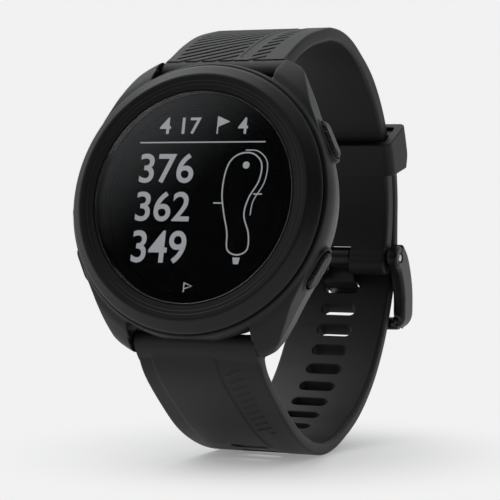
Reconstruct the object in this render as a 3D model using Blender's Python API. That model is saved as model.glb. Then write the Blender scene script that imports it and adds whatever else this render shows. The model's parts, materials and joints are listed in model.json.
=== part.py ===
"""A round golf GPS watch on a silicone strap, standing on its buckled strap loop with the face leaning back.

Case pieces are built in the watch's own axes (X to 3 o'clock, Y to 12 o'clock, Z out of the lens, zero at
the middle of the lens) and hang on the empty watch_axes. Strap pieces are drawn in the side plane, with Y
to the back and Z up from the same zero, and hang on the empty strap_axes. World zero is on the floor.
"""

import math

import bmesh
import bpy
import numpy as np
from mathutils import Matrix, Vector

MM = 0.001

# Driving dimensions
LEAN = math.radians(13.1)  # how far the face leans back from upright
FLOOR_DROP = 42.253 * MM  # lens middle above the floor
FACE_SETBACK = 30.69 * MM  # lens middle in front of the middle of the whole length
SIDE_SHIFT = 0.45 * MM  # centres the width, since the left button stands a little prouder
GAP = 0.3 * MM

LENS_RADIUS = 16.25 * MM
LENS_THICK = 1.3 * MM
BEZEL_BORE = 16.55 * MM
BEZEL_RADIUS = 20.6 * MM
CASE_RADIUS = 21.4 * MM
CAVITY_RADIUS = 18.4 * MM
CASE_TOP = -1.8 * MM
CAVITY_TOP = -3.5 * MM
BACK_LEDGE = -9.0 * MM
BACK_INNER = -9.9 * MM
BACK_OUTER = -11.1 * MM

BOARD_RADIUS = 17.6 * MM
BOARD_TOP = -7.9 * MM
BOARD_BOTTOM = -8.7 * MM
BOSS_ANGLES = (60, 120, 240, 300)
BOSS_CIRCLE = 16.7 * MM
BOSS_RADIUS = 1.9 * MM
SCREW_HOLE = 0.85 * MM

BUTTONS = {"enter": 27, "back": -27, "light": 153, "up": 180, "down": 207}
BUTTON_HEIGHT = -5.2 * MM
CAP_LENGTH = 5.9 * MM
CAP_WIDTH = 2.3 * MM
CAP_FACE = 22.3 * MM
CAP_BACK = 20.9 * MM
STEM_RADIUS = 0.55 * MM
STEM_END = 17.9 * MM
POCKET_FLOOR = 20.25 * MM

LUG_GAP = 21.0 * MM
LUG_TAPER = 0.93  # the outline under each lug against the one on top
BAR_OUT = 21.5 * MM  # spring bar axis from the middle of the watch
BAR_DEPTH = -7.4 * MM
BAR_RADIUS = 0.75 * MM
TIP_RADIUS = 0.38 * MM
TIP_REACH = 11.3 * MM
KNOB_PLACE = 6.5 * MM

STRAP_WIDTH = 20.4 * MM
BUCKLE_WIDTH = 18.2 * MM
SHORT_OUTER = 1.75 * MM  # outer face of the short half above its middle, where the tail lies on it
STRAP_INNER = 1.2 * MM
TAIL_OUTER = 1.2 * MM
TAPER_START = 16 * MM
TAPER_END = 42 * MM

LOOP_CENTRE = Vector((0, 32.5 * MM, -2.5 * MM))  # the back of the strap is an arc round this line
SHORT_ARC = 28.1 * MM
TAIL_ARC = 31.2 * MM
PIN = Vector((0, 59.8 * MM, -11.5 * MM))
PIN_RADIUS = 0.65 * MM
PIN_EYE = 2.1 * MM
SLOT_PITCH = 4.15 * MM
SLOT_LENGTH = 6.4 * MM
SLOT_WIDTH = 2.1 * MM
SLOTS_ABOVE_TANG = 4
SLOTS_BELOW_TANG = 12
KEEPER_ANGLE = 18.5
KEEPER_HALF_ANGLE = 6.5
KEEPER_WALL = 1.5 * MM
KEEPER_ROOM = 0.35 * MM
FRAME_INNER = 9.6 * MM
FRAME_WIRE = 0.97 * MM
FAR_BAR = Vector((0, 64.0 * MM, -22.9 * MM))

ROUND = 48  # sides of the large turned pieces
SMALL_ROUND = 12


def clear_scene():
    for obj in list(bpy.data.objects):
        bpy.data.objects.remove(obj)


def material(name, colour, roughness, metallic=0.0, alpha=1.0):
    made = bpy.data.materials.new(name)
    made.use_nodes = True
    shader = made.node_tree.nodes["Principled BSDF"]
    shader.inputs["Base Color"].default_value = (*colour, 1)
    shader.inputs["Roughness"].default_value = roughness
    shader.inputs["Metallic"].default_value = metallic
    shader.inputs["Alpha"].default_value = alpha
    return made


# Mesh shapes, each returned as a bmesh


def lathe(profile, sides=ROUND):
    """Turns a closed outline of (radius, height) points about Z."""
    shape = bmesh.new()
    rings = []
    for radius, height in profile:
        count = 1 if radius == 0 else sides
        turn = 2 * math.pi / sides
        spots = [(radius * math.cos(i * turn), radius * math.sin(i * turn), height) for i in range(count)]
        rings.append([shape.verts.new(spot) for spot in spots])
    for here, there in zip(rings, rings[1:] + rings[:1]):
        if len(here) == 1 and len(there) == 1:
            continue
        for i in range(sides):
            j = (i + 1) % sides
            corners = [here[i % len(here)], here[j % len(here)], there[j % len(there)], there[i % len(there)]]
            shape.faces.new(list(dict.fromkeys(corners)))
    bmesh.ops.recalc_face_normals(shape, faces=shape.faces)
    return shape


def prism(outline, low, high):
    """Stands an (x, y) outline up from low to high."""
    shape = bmesh.new()
    bottom = [shape.verts.new((x, y, low)) for x, y in outline]
    top = [shape.verts.new((x, y, high)) for x, y in outline]
    shape.faces.new(bottom)
    shape.faces.new(top)
    for i in range(len(outline)):
        j = (i + 1) % len(outline)
        shape.faces.new((bottom[i], bottom[j], top[j], top[i]))
    bmesh.ops.recalc_face_normals(shape, faces=shape.faces)
    return shape


def block(low, high):
    (left, front, bottom), (right, back, top) = low, high
    return prism([(left, front), (right, front), (right, back), (left, back)], bottom, top)


def rod(radius, low, high, sides=SMALL_ROUND):
    return lathe([(0, low), (radius, low), (radius, high), (0, high)], sides)


def tube_wall(inner, outer, low, high, sides=ROUND):
    return lathe([(inner, low), (outer, low), (outer, high), (inner, high)], sides)


def stadium(length, width, steps=5):
    """A straight slot with round ends, along X."""
    radius = width / 2
    middle = length / 2 - radius
    right = [(-90 + 180 * i / steps, middle) for i in range(steps + 1)]
    left = [(90 + 180 * i / steps, -middle) for i in range(steps + 1)]
    return [
        (centre + radius * math.cos(math.radians(a)), radius * math.sin(math.radians(a)))
        for a, centre in right + left
    ]


def skin(rings, closed_path=False):
    """Joins rings of equal point counts, and caps the two ends unless the path closes."""
    shape = bmesh.new()
    made = [[shape.verts.new(point) for point in ring] for ring in rings]
    pairs = list(zip(made, made[1:]))
    if closed_path:
        pairs.append((made[-1], made[0]))
    else:
        shape.faces.new(made[0])
        shape.faces.new(made[-1])
    for here, there in pairs:
        for i in range(len(here)):
            j = (i + 1) % len(here)
            shape.faces.new((here[i], here[j], there[j], there[i]))
    bmesh.ops.recalc_face_normals(shape, faces=shape.faces)
    return shape


def moved(shape, matrix):
    bmesh.ops.transform(shape, matrix=matrix, verts=shape.verts)
    return shape


def together(shapes):
    """Several separate shapes in one bmesh, for a cutter."""
    whole = bmesh.new()
    for shape in shapes:
        mesh = bpy.data.meshes.new("joined")
        shape.to_mesh(mesh)
        shape.free()
        whole.from_mesh(mesh)
        bpy.data.meshes.remove(mesh)
    return whole


def along_x(shape):
    """Lays a shape made along Z along X."""
    return moved(shape, Matrix.Rotation(math.pi / 2, 4, "Y"))


def radial(angle, shape):
    """Turns a shape made along X to point out of the case at an angle, at the buttons' height."""
    place = Matrix.Translation((0, 0, BUTTON_HEIGHT))
    return moved(shape, place @ Matrix.Rotation(math.radians(angle), 4, "Z"))


# Objects


def add(name, shape, finish, parent, place=(0, 0, 0), turn=(0, 0, 0)):
    mesh = bpy.data.meshes.new(name)
    shape.to_mesh(mesh)
    shape.free()
    return add_mesh(name, mesh, finish, parent, place, turn)


def add_mesh(name, mesh, finish, parent, place=(0, 0, 0), turn=(0, 0, 0)):
    mesh.shade_smooth()
    mesh.set_sharp_from_angle(angle=math.radians(35))
    if not mesh.materials:
        mesh.materials.append(finish)
    obj = bpy.data.objects.new(name, mesh)
    bpy.context.scene.collection.objects.link(obj)
    obj.parent = parent
    obj.location = place
    obj.rotation_euler = turn
    return obj


def shape_by(target, operation, shape):
    """Adds a Boolean with a hidden helper that shares the target's place."""
    mesh = bpy.data.meshes.new("helper")
    shape.to_mesh(mesh)
    shape.free()
    helper = bpy.data.objects.new(f"{target.name}_helper", mesh)
    bpy.context.scene.collection.objects.link(helper)
    helper.parent = target.parent
    helper.location = target.location
    helper.rotation_euler = target.rotation_euler
    helper.hide_render = True
    helper.display_type = "WIRE"
    modifier = target.modifiers.new(operation.lower(), "BOOLEAN")
    modifier.object = helper
    modifier.operation = operation
    modifier.solver = "EXACT"


def axes_empty(name, place, turn):
    empty = bpy.data.objects.new(name, None)
    bpy.context.scene.collection.objects.link(empty)
    empty.location = place
    empty.rotation_euler = turn
    return empty


# The strap's routes


def side_point(out, height):
    """A point of the watch's middle plane, given in watch axes, as a strap_axes point."""
    back = out * math.sin(LEAN) - height * math.cos(LEAN)
    return Vector((0, back, out * math.cos(LEAN) + height * math.sin(LEAN)))


def arc_point(radius, degrees):
    turn = math.radians(degrees)
    return LOOP_CENTRE + Vector((0, radius * math.cos(turn), radius * math.sin(turn)))


def smooth_route(points, spacing=1.5 * MM):
    """Even steps along a Catmull-Rom curve through the points."""
    knots = [points[0] * 2 - points[1]] + list(points) + [points[-1] * 2 - points[-2]]
    fine = []
    for a, b, c, d in zip(knots, knots[1:], knots[2:], knots[3:]):
        for i in range(20):
            t = i / 20
            square = (a * 2 - b * 5 + c * 4 - d) * t**2
            cube = (b * 3 - a - c * 3 + d) * t**3
            fine.append(0.5 * (b * 2 + (c - a) * t + square + cube))
    fine.append(points[-1])
    lengths = np.cumsum([0] + [(q - p).length for p, q in zip(fine, fine[1:])])
    count = max(2, round(lengths[-1] / spacing))
    wanted = np.linspace(0, lengths[-1], count + 1)
    return [Vector([np.interp(s, lengths, [p[axis] for p in fine]) for axis in range(3)]) for s in wanted]


def short_route():
    """Middle of the short half: over the top from the lugs, then round the arc to the buckle pin."""
    start = side_point(BAR_OUT, BAR_DEPTH) + Vector((0, 0.2, 0.5)) * MM
    over_top = [start] + [Vector((0, y, z)) * MM for y, z in ((14.8, 21.0), (18.2, 22.6), (23.2, 24.3))]
    arc = [arc_point(SHORT_ARC, degrees) for degrees in range(95, -18, -4)]
    return smooth_route(over_top + arc)


def long_route():
    """Middle of the long half: under the bottom from the lugs, up past the buckle and round the arc."""
    start = side_point(-BAR_OUT, BAR_DEPTH) + Vector((0, 0.3, -0.5)) * MM
    under = ((4.9, -26.8), (9.8, -31.4), (16.0, -36.2), (22.3, -39.3), (28.2, -40.85), (33.4, -40.95))
    behind = ((38.5, -39.85), (45.7, -36.9), (52.4, -31.9), (57.6, -25.4))
    past_buckle = ((61.4, -17.8), (63.4, -11.9), (63.6, -7.6))
    bottom = [start] + [Vector((0, y, z)) * MM for y, z in under + behind + past_buckle]
    arc = [arc_point(TAIL_ARC, -3.5 + 3.1 * i) for i in range(9)]
    return smooth_route(bottom + arc)


def frames_of(route):
    """(place, direction along, direction out of the loop, distance so far) at each point of a route."""
    found = []
    distance = 0
    for i, place in enumerate(route):
        along = (route[min(i + 1, len(route) - 1)] - route[max(i - 1, 0)]).normalized()
        if i:
            distance += (place - route[i - 1]).length
        out = along.cross(Vector((1, 0, 0)))
        middle = Vector((0, 30, -7)) * MM
        if out.dot(place - middle) < 0:
            out.negate()
        found.append((place, along, out, distance))
    return found


def half_width(distance):
    share = min(max((distance - TAPER_START) / (TAPER_END - TAPER_START), 0), 1)
    share = share * share * (3 - 2 * share)
    return (STRAP_WIDTH + (BUCKLE_WIDTH - STRAP_WIDTH) * share) / 2


def short_faces(place):
    """How far the short half's inner and outer faces are from its middle: thinner over the top."""
    back = place - LOOP_CENTRE
    angle = math.degrees(math.atan2(back.z, back.y))
    share = min(max((angle - 47) / 18, 0), 1)
    share = share * share * (3 - 2 * share)
    return -STRAP_INNER + 0.2 * MM * share, SHORT_OUTER - 0.55 * MM * share


def long_faces(_place):
    return -0.9 * MM, TAIL_OUTER


def band(route, faces_at):
    """The strap's body: a flat section with cut corners, thicker on its inner side next to the lugs."""
    rings = []
    outer_cut = 0.4 * MM
    inner_cut = 0.7 * MM
    for place, _, out, distance in frames_of(route):
        wide = half_width(distance)
        low, top = faces_at(place)
        low -= 0.8 * MM * max(0, 1 - distance / (6 * MM)) ** 2
        section = (
            (-wide, low + inner_cut),
            (-wide, top - outer_cut),
            (-wide + outer_cut, top),
            (wide - outer_cut, top),
            (wide, top - outer_cut),
            (wide, low + inner_cut),
            (wide - inner_cut, low),
            (-wide + inner_cut, low),
        )
        rings.append([place + Vector((x, 0, 0)) + out * depth for x, depth in section])
    return skin(rings)


def slot_frames():
    """(place, along, out) of each slot, from the tail to the lug end; the tang's own slot has index 0."""
    frames = frames_of(long_route())
    heights = [abs(place.z + 17.8 * MM) + abs(place.y - 61.4 * MM) for place, _, _, _ in frames]
    tang_distance = frames[int(np.argmin(heights))][3]
    distances = [frame[3] for frame in frames]
    found = {}
    for index in range(-SLOTS_ABOVE_TANG, SLOTS_BELOW_TANG + 1):
        wanted = tang_distance - index * SLOT_PITCH
        i = int(np.searchsorted(distances, wanted)) - 1
        share = (wanted - distances[i]) / (distances[i + 1] - distances[i])
        here, there = frames[i], frames[i + 1]
        place = here[0].lerp(there[0], share)
        along = here[1].lerp(there[1], share).normalized()
        out = here[2].lerp(there[2], share).normalized()
        found[index] = (place, along, out)
    return found


def at_frame(place, along, out):
    """A matrix whose X is the strap's width, Y runs along it and Z out of it."""
    matrix = Matrix.Identity(4)
    for column, axis in enumerate((Vector((1, 0, 0)), along, out, place)):
        for row in range(3):
            matrix[row][column] = axis[row]
    if matrix.to_3x3().determinant() < 0:
        for row in range(3):
            matrix[row][0] = -matrix[row][0]
    return matrix


def tube_along(points, radius, sides=8):
    """A round wire through points, closed at its ends."""
    rings = []
    side = Vector((1, 0, 0))
    for i, point in enumerate(points):
        along = (points[min(i + 1, len(points) - 1)] - points[max(i - 1, 0)]).normalized()
        if abs(side.dot(along)) < 0.98:
            side = (side - along * side.dot(along)).normalized()
        else:
            side = along.orthogonal()
        other = along.cross(side)
        ring = []
        for k in range(sides):
            turn = 2 * math.pi * (k + 0.5) / sides
            ring.append(point + side * radius * math.cos(turn) + other * radius * math.sin(turn))
        rings.append(ring)
    return skin(rings)


# Case


def build_case(axes, finish):
    outside = [
        (0, CASE_TOP),
        (20.95 * MM, CASE_TOP),
        (21.15 * MM, -2.05 * MM),
        (21.3 * MM, -2.7 * MM),
        (CASE_RADIUS, -3.5 * MM),
        (CASE_RADIUS, -4.4 * MM),
        (21.1 * MM, -6.2 * MM),
        (20.5 * MM, -8.2 * MM),
        (19.9 * MM, -9.8 * MM),
        (19.5 * MM, -10.3 * MM),
        (0, -10.3 * MM),
    ]
    case = add("case_middle", lathe(outside), finish, axes)
    shape_by(case, "UNION", lugs())
    recess_side = (
        (19.3, -12.5),
        (19.3, -6.4),
        (19.9, -5.2),
        (20.95, -5.0),
        (20.95, -2.1),
        (26, -2.1),
        (26, -12.5),
    )
    recesses = []
    for sign in (1, -1):
        outline = [(sign * out * MM, height * MM) for out, height in recess_side]
        recesses.append(across(outline, -LUG_GAP / 2, LUG_GAP / 2))
    shape_by(case, "DIFFERENCE", together(recesses))
    cavity = [
        (0, -1 * MM),
        (19.2 * MM, -1 * MM),
        (19.2 * MM, CAVITY_TOP),
        (CAVITY_RADIUS, CAVITY_TOP),
        (CAVITY_RADIUS, BACK_LEDGE),
        (19.0 * MM, BACK_LEDGE),
        (19.0 * MM, -12 * MM),
        (0, -12 * MM),
    ]
    shape_by(case, "DIFFERENCE", lathe(cavity))
    bosses = [moved(rod(BOSS_RADIUS, BACK_LEDGE + 0.1 * MM, -4.8 * MM, 16), at) for at in boss_places()]
    shape_by(case, "UNION", together(bosses))
    holes = [moved(rod(SCREW_HOLE, -10 * MM, -5.4 * MM), at) for at in boss_places()]
    for angle in BUTTONS.values():
        pocket = moved(prism(stadium(6.5 * MM, 2.9 * MM), POCKET_FLOOR, 24 * MM), FACE_ALONG_X)
        holes.append(radial(angle, pocket))
    for sign in (1, -1):
        for side in (1, -1):
            hole = along_x(rod(0.7 * MM, 10 * MM, 11.7 * MM))
            if side < 0:
                moved(hole, Matrix.Rotation(math.pi, 4, "Z"))
            holes.append(moved(hole, Matrix.Translation((0, sign * BAR_OUT, BAR_DEPTH))))
    shape_by(case, "DIFFERENCE", together(holes))
    stem_holes = [radial(a, along_x(rod(0.85 * MM, 17 * MM, 20.6 * MM))) for a in BUTTONS.values()]
    shape_by(case, "DIFFERENCE", together(stem_holes))
    seal_seats = [radial(a, along_x(rod(1.5 * MM, 17 * MM, 19.8 * MM))) for a in BUTTONS.values()]
    shape_by(case, "DIFFERENCE", together(seal_seats))


# A prism's outline (x, y) and height z laid so that its height points along X and its length along Y
FACE_ALONG_X = Matrix(((0, 0, 1, 0), (1, 0, 0, 0), (0, 1, 0, 0), (0, 0, 0, 1)))


def across(outline, low, high):
    """Stands a (y, z) outline across the watch, from x = low to x = high."""
    return moved(prism(outline, low, high), FACE_ALONG_X)


def boss_places():
    turns = [math.radians(angle) for angle in BOSS_ANGLES]
    return [Matrix.Translation((BOSS_CIRCLE * math.cos(a), BOSS_CIRCLE * math.sin(a), 0)) for a in turns]


def lugs():
    """Four lugs: the case's dome carried further out, kept only inside each lug's outline from the front."""
    dome = (
        (0, -2.4),
        (20.9, -2.4),
        (21.7, -2.75),
        (22.5, -3.2),
        (23.7, -4.4),
        (24.4, -5.2),
        (25.0, -6.1),
        (25.25, -7.0),
        (25.1, -8.3),
        (24.6, -9.4),
        (23.8, -10.0),
        (22.8, -10.2),
        (0, -10.2),
    )
    inner_edge = ((10.2, 12), (10.2, 26))
    outer_edge = ((12.0, 23.3), (13.2, 21.6), (13.9, 20.6), (15.2, 18), (16.5, 15), (17, 13.8), (15.8, 12.9))
    outlines = []
    for v in (1, -1):
        for u in (1, -1):
            rings = []
            for height, size in ((0, 1), (-6.2, 1), (-12, LUG_TAPER)):
                points = inner_edge + tuple((x * size, y * size) for x, y in outer_edge)
                rings.append([Vector((u * x, v * y, height)) * MM for x, y in points])
            outlines.append(skin(rings))
    helper = add("lug_outlines", together(outlines), None, None)
    shape_by(helper, "INTERSECT", lathe([(radius * MM, height * MM) for radius, height in dome], 96))
    bpy.context.view_layer.update()
    graph = bpy.context.evaluated_depsgraph_get()
    shape = bmesh.new()
    shape.from_object(helper, graph)
    bpy.data.objects.remove(helper)
    return shape


def build_front(axes, finishes):
    edge = [(LENS_RADIUS - 0.2 * MM, 0), (LENS_RADIUS, -0.2 * MM), (LENS_RADIUS, -LENS_THICK)]
    lens = [(0, 0)] + edge + [(0, -LENS_THICK)]
    add("lens", lathe(lens), finishes["glass"], axes)
    bezel = [
        (BEZEL_BORE, 0.05 * MM),
        (18.0 * MM, 0.2 * MM),
        (18.9 * MM, 0.35 * MM),
        (19.1 * MM, 0.3 * MM),
        (20.4 * MM, -0.95 * MM),
        (BEZEL_RADIUS, -1.5 * MM),
        (18.9 * MM, -1.5 * MM),
        (18.9 * MM, -3.2 * MM),
        (18.1 * MM, -3.2 * MM),
        (18.1 * MM, -2.9 * MM),
        (14.8 * MM, -2.9 * MM),
        (14.8 * MM, -2.1 * MM),
        (BEZEL_BORE, -2.1 * MM),
    ]
    add("bezel", lathe(bezel), finishes["polymer"], axes)
    add("lens_seal", tube_wall(15.0 * MM, 16.2 * MM, -1.8 * MM, -1.6 * MM), finishes["seal"], axes)
    add("display_panel", rod(14.3 * MM, -2.4 * MM, -1.6 * MM, ROUND), finishes["display"], axes)
    add("display_backlight", rod(14.3 * MM, -3.2 * MM, -2.7 * MM, ROUND), finishes["diffuser"], axes)


def build_inside(axes, finishes):
    arc = [math.radians(-70 + 8 * i) for i in range(41)]
    rings = []
    for a in arc:
        outward = Vector((math.cos(a), math.sin(a), 0))
        corners = ((16.2, -4.1), (17.6, -4.1), (17.6, -3.3), (16.2, -3.3))
        rings.append([outward * radius * MM + Vector((0, 0, height * MM)) for radius, height in corners])
    add("gps_antenna", skin(rings), finishes["copper"], axes)

    disc = rod(15.9 * MM, -4.1 * MM, -3.5 * MM, ROUND)
    carrier = add("inner_carrier", disc, finishes["inner_plastic"], axes)
    legs = []
    for x in (10.3 * MM, -10.3 * MM):
        for y in (10.3 * MM, -10.3 * MM):
            legs.append(block((x - MM, y - MM, BOARD_TOP + GAP), (x + MM, y + MM, -3.8 * MM)))
    shape_by(carrier, "UNION", together(legs))

    cell = block((-11 * MM, -8.5 * MM, -7.4 * MM), (11 * MM, 8.5 * MM, -4.4 * MM))
    add("battery", cell, finishes["foil"], axes)
    shield = block((-5 * MM, 9.6 * MM, BOARD_TOP + GAP), (5 * MM, 13.6 * MM, -6 * MM))
    add("board_shield", shield, finishes["tin"], axes)
    board = add("main_board", rod(BOARD_RADIUS, BOARD_BOTTOM, BOARD_TOP, ROUND), finishes["board"], axes)
    notch = BOSS_RADIUS + 0.5 * MM
    notches = [moved(rod(notch, -10 * MM, -6 * MM, 16), at) for at in boss_places()]
    shape_by(board, "DIFFERENCE", together(notches))


def build_back(axes, finishes):
    plate = [
        (0, BACK_OUTER),
        (18.2 * MM, BACK_OUTER),
        (18.7 * MM, -10.55 * MM),
        (18.7 * MM, BACK_INNER),
        (0, BACK_INNER),
    ]
    back = add("case_back", lathe(plate), finishes["polymer"], axes)
    port_place = Matrix.Translation((0, -11.5 * MM, 0))
    openings = [moved(prism(stadium(8 * MM, 4.2 * MM), -12 * MM, -9 * MM), port_place)]
    for at in boss_places():
        seat = [
            (0, -12 * MM),
            (1.4 * MM, -12 * MM),
            (1.4 * MM, -10.3 * MM),
            (SCREW_HOLE, -10.3 * MM),
            (SCREW_HOLE, -9 * MM),
            (0, -9 * MM),
        ]
        openings.append(moved(lathe(seat, SMALL_ROUND), at))
    shape_by(back, "DIFFERENCE", together(openings))
    add("case_back_seal", tube_wall(18.45 * MM, 18.9 * MM, -9.6 * MM, -9.3 * MM), finishes["seal"], axes)

    screw = [
        (0, -11.05 * MM),
        (1.1 * MM, -11.05 * MM),
        (1.1 * MM, -10.6 * MM),
        (0.55 * MM, -10.6 * MM),
        (0.55 * MM, -6 * MM),
        (0, -6 * MM),
    ]
    for number, at in enumerate(boss_places(), 1):
        place = at.to_translation()
        add(f"case_back_screw_{number}", lathe(screw, SMALL_ROUND), finishes["steel"], axes, place)

    port = prism(stadium(7.4 * MM, 3.6 * MM), -10.8 * MM, -9.5 * MM)
    insert = add("charging_port_insert", port, finishes["inner_plastic"], axes, port_place.to_translation())
    contact_xs = [(-2.55 + 1.7 * i) * MM for i in range(4)]
    bores = [moved(rod(0.7 * MM, -12 * MM, -9 * MM), Matrix.Translation((x, 0, 0))) for x in contact_xs]
    shape_by(insert, "DIFFERENCE", together(bores))
    for number, x in enumerate(contact_xs, 1):
        contact = rod(0.42 * MM, -11 * MM, -9.2 * MM, 10)
        add(f"charging_contact_{number}", contact, finishes["gold"], axes, (x, -11.5 * MM, 0))


def build_buttons(axes, finishes):
    """Each button slides in along its own X, which points out of the case."""
    for name, angle in BUTTONS.items():
        place = (0, 0, BUTTON_HEIGHT)
        turn = (0, 0, math.radians(angle))
        cap = moved(prism(stadium(CAP_LENGTH, CAP_WIDTH, 6), CAP_BACK, CAP_FACE), FACE_ALONG_X)
        crown = [edge for edge in cap.edges if all(vert.co.x > CAP_FACE - 1e-6 for vert in edge.verts)]
        bmesh.ops.bevel(cap, geom=crown, offset=0.35 * MM, segments=2, affect="EDGES")
        button = add(f"{name}_button", cap, finishes["polymer"], axes, place, turn)
        shape_by(button, "UNION", along_x(rod(STEM_RADIUS, STEM_END, 21.2 * MM)))
        seal = along_x(tube_wall(0.85 * MM, 1.2 * MM, 18.95 * MM, 19.5 * MM, SMALL_ROUND))
        add(f"{name}_button_seal", seal, finishes["seal"], axes, place, turn)
        body = block((15.3 * MM, -1.8 * MM, BOARD_TOP + GAP - BUTTON_HEIGHT), (16.9 * MM, 1.8 * MM, 0.8 * MM))
        switch = add(f"{name}_button_switch", body, finishes["inner_plastic"], axes, place, turn)
        shape_by(switch, "UNION", along_x(rod(0.5 * MM, 16.5 * MM, 17.2 * MM)))


def build_spring_bars(axes, finishes):
    """A quick-release bar between each pair of lugs. Its knob draws the right-hand tip in along X."""
    for name, sign in (("upper", 1), ("lower", -1)):
        place = (0, sign * BAR_OUT, BAR_DEPTH)
        shell = along_x(tube_wall(0.5 * MM, BAR_RADIUS, -9.9 * MM, 9.9 * MM, SMALL_ROUND))
        tube = add(f"spring_bar_tube_{name}", shell, finishes["steel"], axes, place)
        shape_by(tube, "UNION", along_x(lathe(FIXED_TIP, SMALL_ROUND)))
        window = block((KNOB_PLACE - 1.7 * MM, -0.6 * MM, -2 * MM), (KNOB_PLACE + 0.7 * MM, 0.6 * MM, 0))
        shape_by(tube, "DIFFERENCE", window)
        pin = along_x(rod(TIP_RADIUS, 3 * MM, TIP_REACH))
        tip = add(f"spring_bar_tip_{name}", pin, finishes["steel"], axes, place)
        knob = [
            (0, -2.85 * MM),
            (0.8 * MM, -2.85 * MM),
            (0.8 * MM, -2.3 * MM),
            (0.33 * MM, -2.3 * MM),
            (0.33 * MM, 0),
            (0, 0),
        ]
        shape_by(tip, "UNION", moved(lathe(knob, SMALL_ROUND), Matrix.Translation((KNOB_PLACE, 0, 0))))
        turns, steps = 7, 9
        coil = []
        for i in range(turns * steps + 1):
            turn = 2 * math.pi * i / steps
            x = -8.6 * MM + 11.3 * MM * i / (turns * steps)
            coil.append(Vector((x, 0.3 * MM * math.cos(turn), 0.3 * MM * math.sin(turn))))
        add(f"spring_bar_spring_{name}", tube_along(coil, 0.08 * MM, 4), finishes["steel"], axes, place)


FIXED_TIP = (
    (0, -TIP_REACH),
    (TIP_RADIUS, -TIP_REACH),
    (TIP_RADIUS, -10.2 * MM),
    (0.62 * MM, -10.1 * MM),
    (0.62 * MM, -9 * MM),
    (0, -9 * MM),
)


# Strap


def lug_end(end):
    """The thick end that holds a spring bar, for the upper (1) or lower (-1) lugs, in strap_axes."""
    side = (
        (20.3, -5.35),
        (21.3, -5.4),
        (22.3, -5.95),
        (23.3, -7.0),
        (24.2, -8.3),
        (22.6, -9.9),
        (21.6, -9.3),
        (20.4, -9.0),
        (19.6, -8.2),
        (19.6, -6.1),
    )
    points = [side_point(end * out * MM, height * MM) for out, height in side]
    half = STRAP_WIDTH / 2 - 0.06 * MM
    return across([(point.y, point.z) for point in points], -half, half)


def lug_end_cuts(end):
    """The bar's bore and the window its knob moves in, on the wrist side."""
    place = side_point(end * BAR_OUT, BAR_DEPTH)
    at = Matrix.Translation(place) @ Matrix.Rotation(math.pi / 2 - LEAN, 4, "X")
    bore = along_x(rod(1.07 * MM, -12 * MM, 12 * MM, 14))
    window = block((KNOB_PLACE - 2.2 * MM, -1.2 * MM, -4 * MM), (KNOB_PLACE + 1.2 * MM, 1.2 * MM, 0))
    return moved(bore, at), moved(window, at)


def build_strap(axes, finishes):
    short = add("strap_short", band(short_route(), short_faces), finishes["silicone"], axes)
    shape_by(short, "UNION", lug_end(1))
    eye = along_x(rod(PIN_EYE, -BUCKLE_WIDTH / 2, BUCKLE_WIDTH / 2, 20))
    shape_by(short, "UNION", moved(eye, Matrix.Translation(PIN)))
    for cut in lug_end_cuts(1):
        shape_by(short, "DIFFERENCE", cut)
    shape_by(short, "DIFFERENCE", moved(along_x(rod(0.95 * MM, -12 * MM, 12 * MM)), Matrix.Translation(PIN)))
    notch_low = PIN + Vector((-2.3, -6, -4)) * MM
    notch_high = PIN + Vector((2.3, 6, 2.9)) * MM
    shape_by(short, "DIFFERENCE", block(notch_low, notch_high))

    long = add("strap_long", band(long_route(), long_faces), finishes["silicone"], axes)
    shape_by(long, "UNION", lug_end(-1))
    for cut in lug_end_cuts(-1):
        shape_by(long, "DIFFERENCE", cut)
    slots = []
    for place, along, out in slot_frames().values():
        slot = prism(stadium(SLOT_LENGTH, SLOT_WIDTH, 4), -3 * MM, 3 * MM)
        slots.append(moved(slot, at_frame(place, along, out)))
    for slot in slots:
        bmesh.ops.recalc_face_normals(slot, faces=slot.faces)
    shape_by(long, "DIFFERENCE", together(slots))


def keeper_ring(angle, inner, outer, side):
    """One section of the keeper's block, on a plane through LOOP_CENTRE."""
    bevel = 0.8 * MM
    corners = (
        (-side, inner + bevel),
        (-side, outer - bevel),
        (-side + bevel, outer),
        (side - bevel, outer),
        (side, outer - bevel),
        (side, inner + bevel),
        (side - bevel, inner),
        (-side + bevel, inner),
    )
    turn = math.radians(angle)
    return [Vector((x, r * math.cos(turn), r * math.sin(turn))) for x, r in corners]


def build_keeper(axes, finishes):
    """The keeper slides round LOOP_CENTRE, so its origin is there."""
    room_in = SHORT_ARC - STRAP_INNER - KEEPER_ROOM
    room_out = TAIL_ARC + TAIL_OUTER + KEEPER_ROOM
    room_side = BUCKLE_WIDTH / 2 + KEEPER_ROOM
    steps = [KEEPER_ANGLE + KEEPER_HALF_ANGLE * (i - 2) / 2 for i in range(5)]
    wall_in, wall_out, wall_side = room_in - KEEPER_WALL, room_out + KEEPER_WALL, room_side + KEEPER_WALL
    outside = [keeper_ring(a, wall_in, wall_out, wall_side) for a in steps]
    keeper = add("strap_keeper", skin(outside), finishes["silicone"], axes, LOOP_CENTRE)
    steps = [KEEPER_ANGLE + (KEEPER_HALF_ANGLE + 3) * (i - 3) / 3 for i in range(7)]
    inside = []
    for angle in steps:
        turn = math.radians(angle)
        corners = ((-room_side, room_in), (-room_side, room_out), (room_side, room_out), (room_side, room_in))
        inside.append([Vector((x, r * math.cos(turn), r * math.sin(turn))) for x, r in corners])
    shape_by(keeper, "DIFFERENCE", skin(inside))


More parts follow.
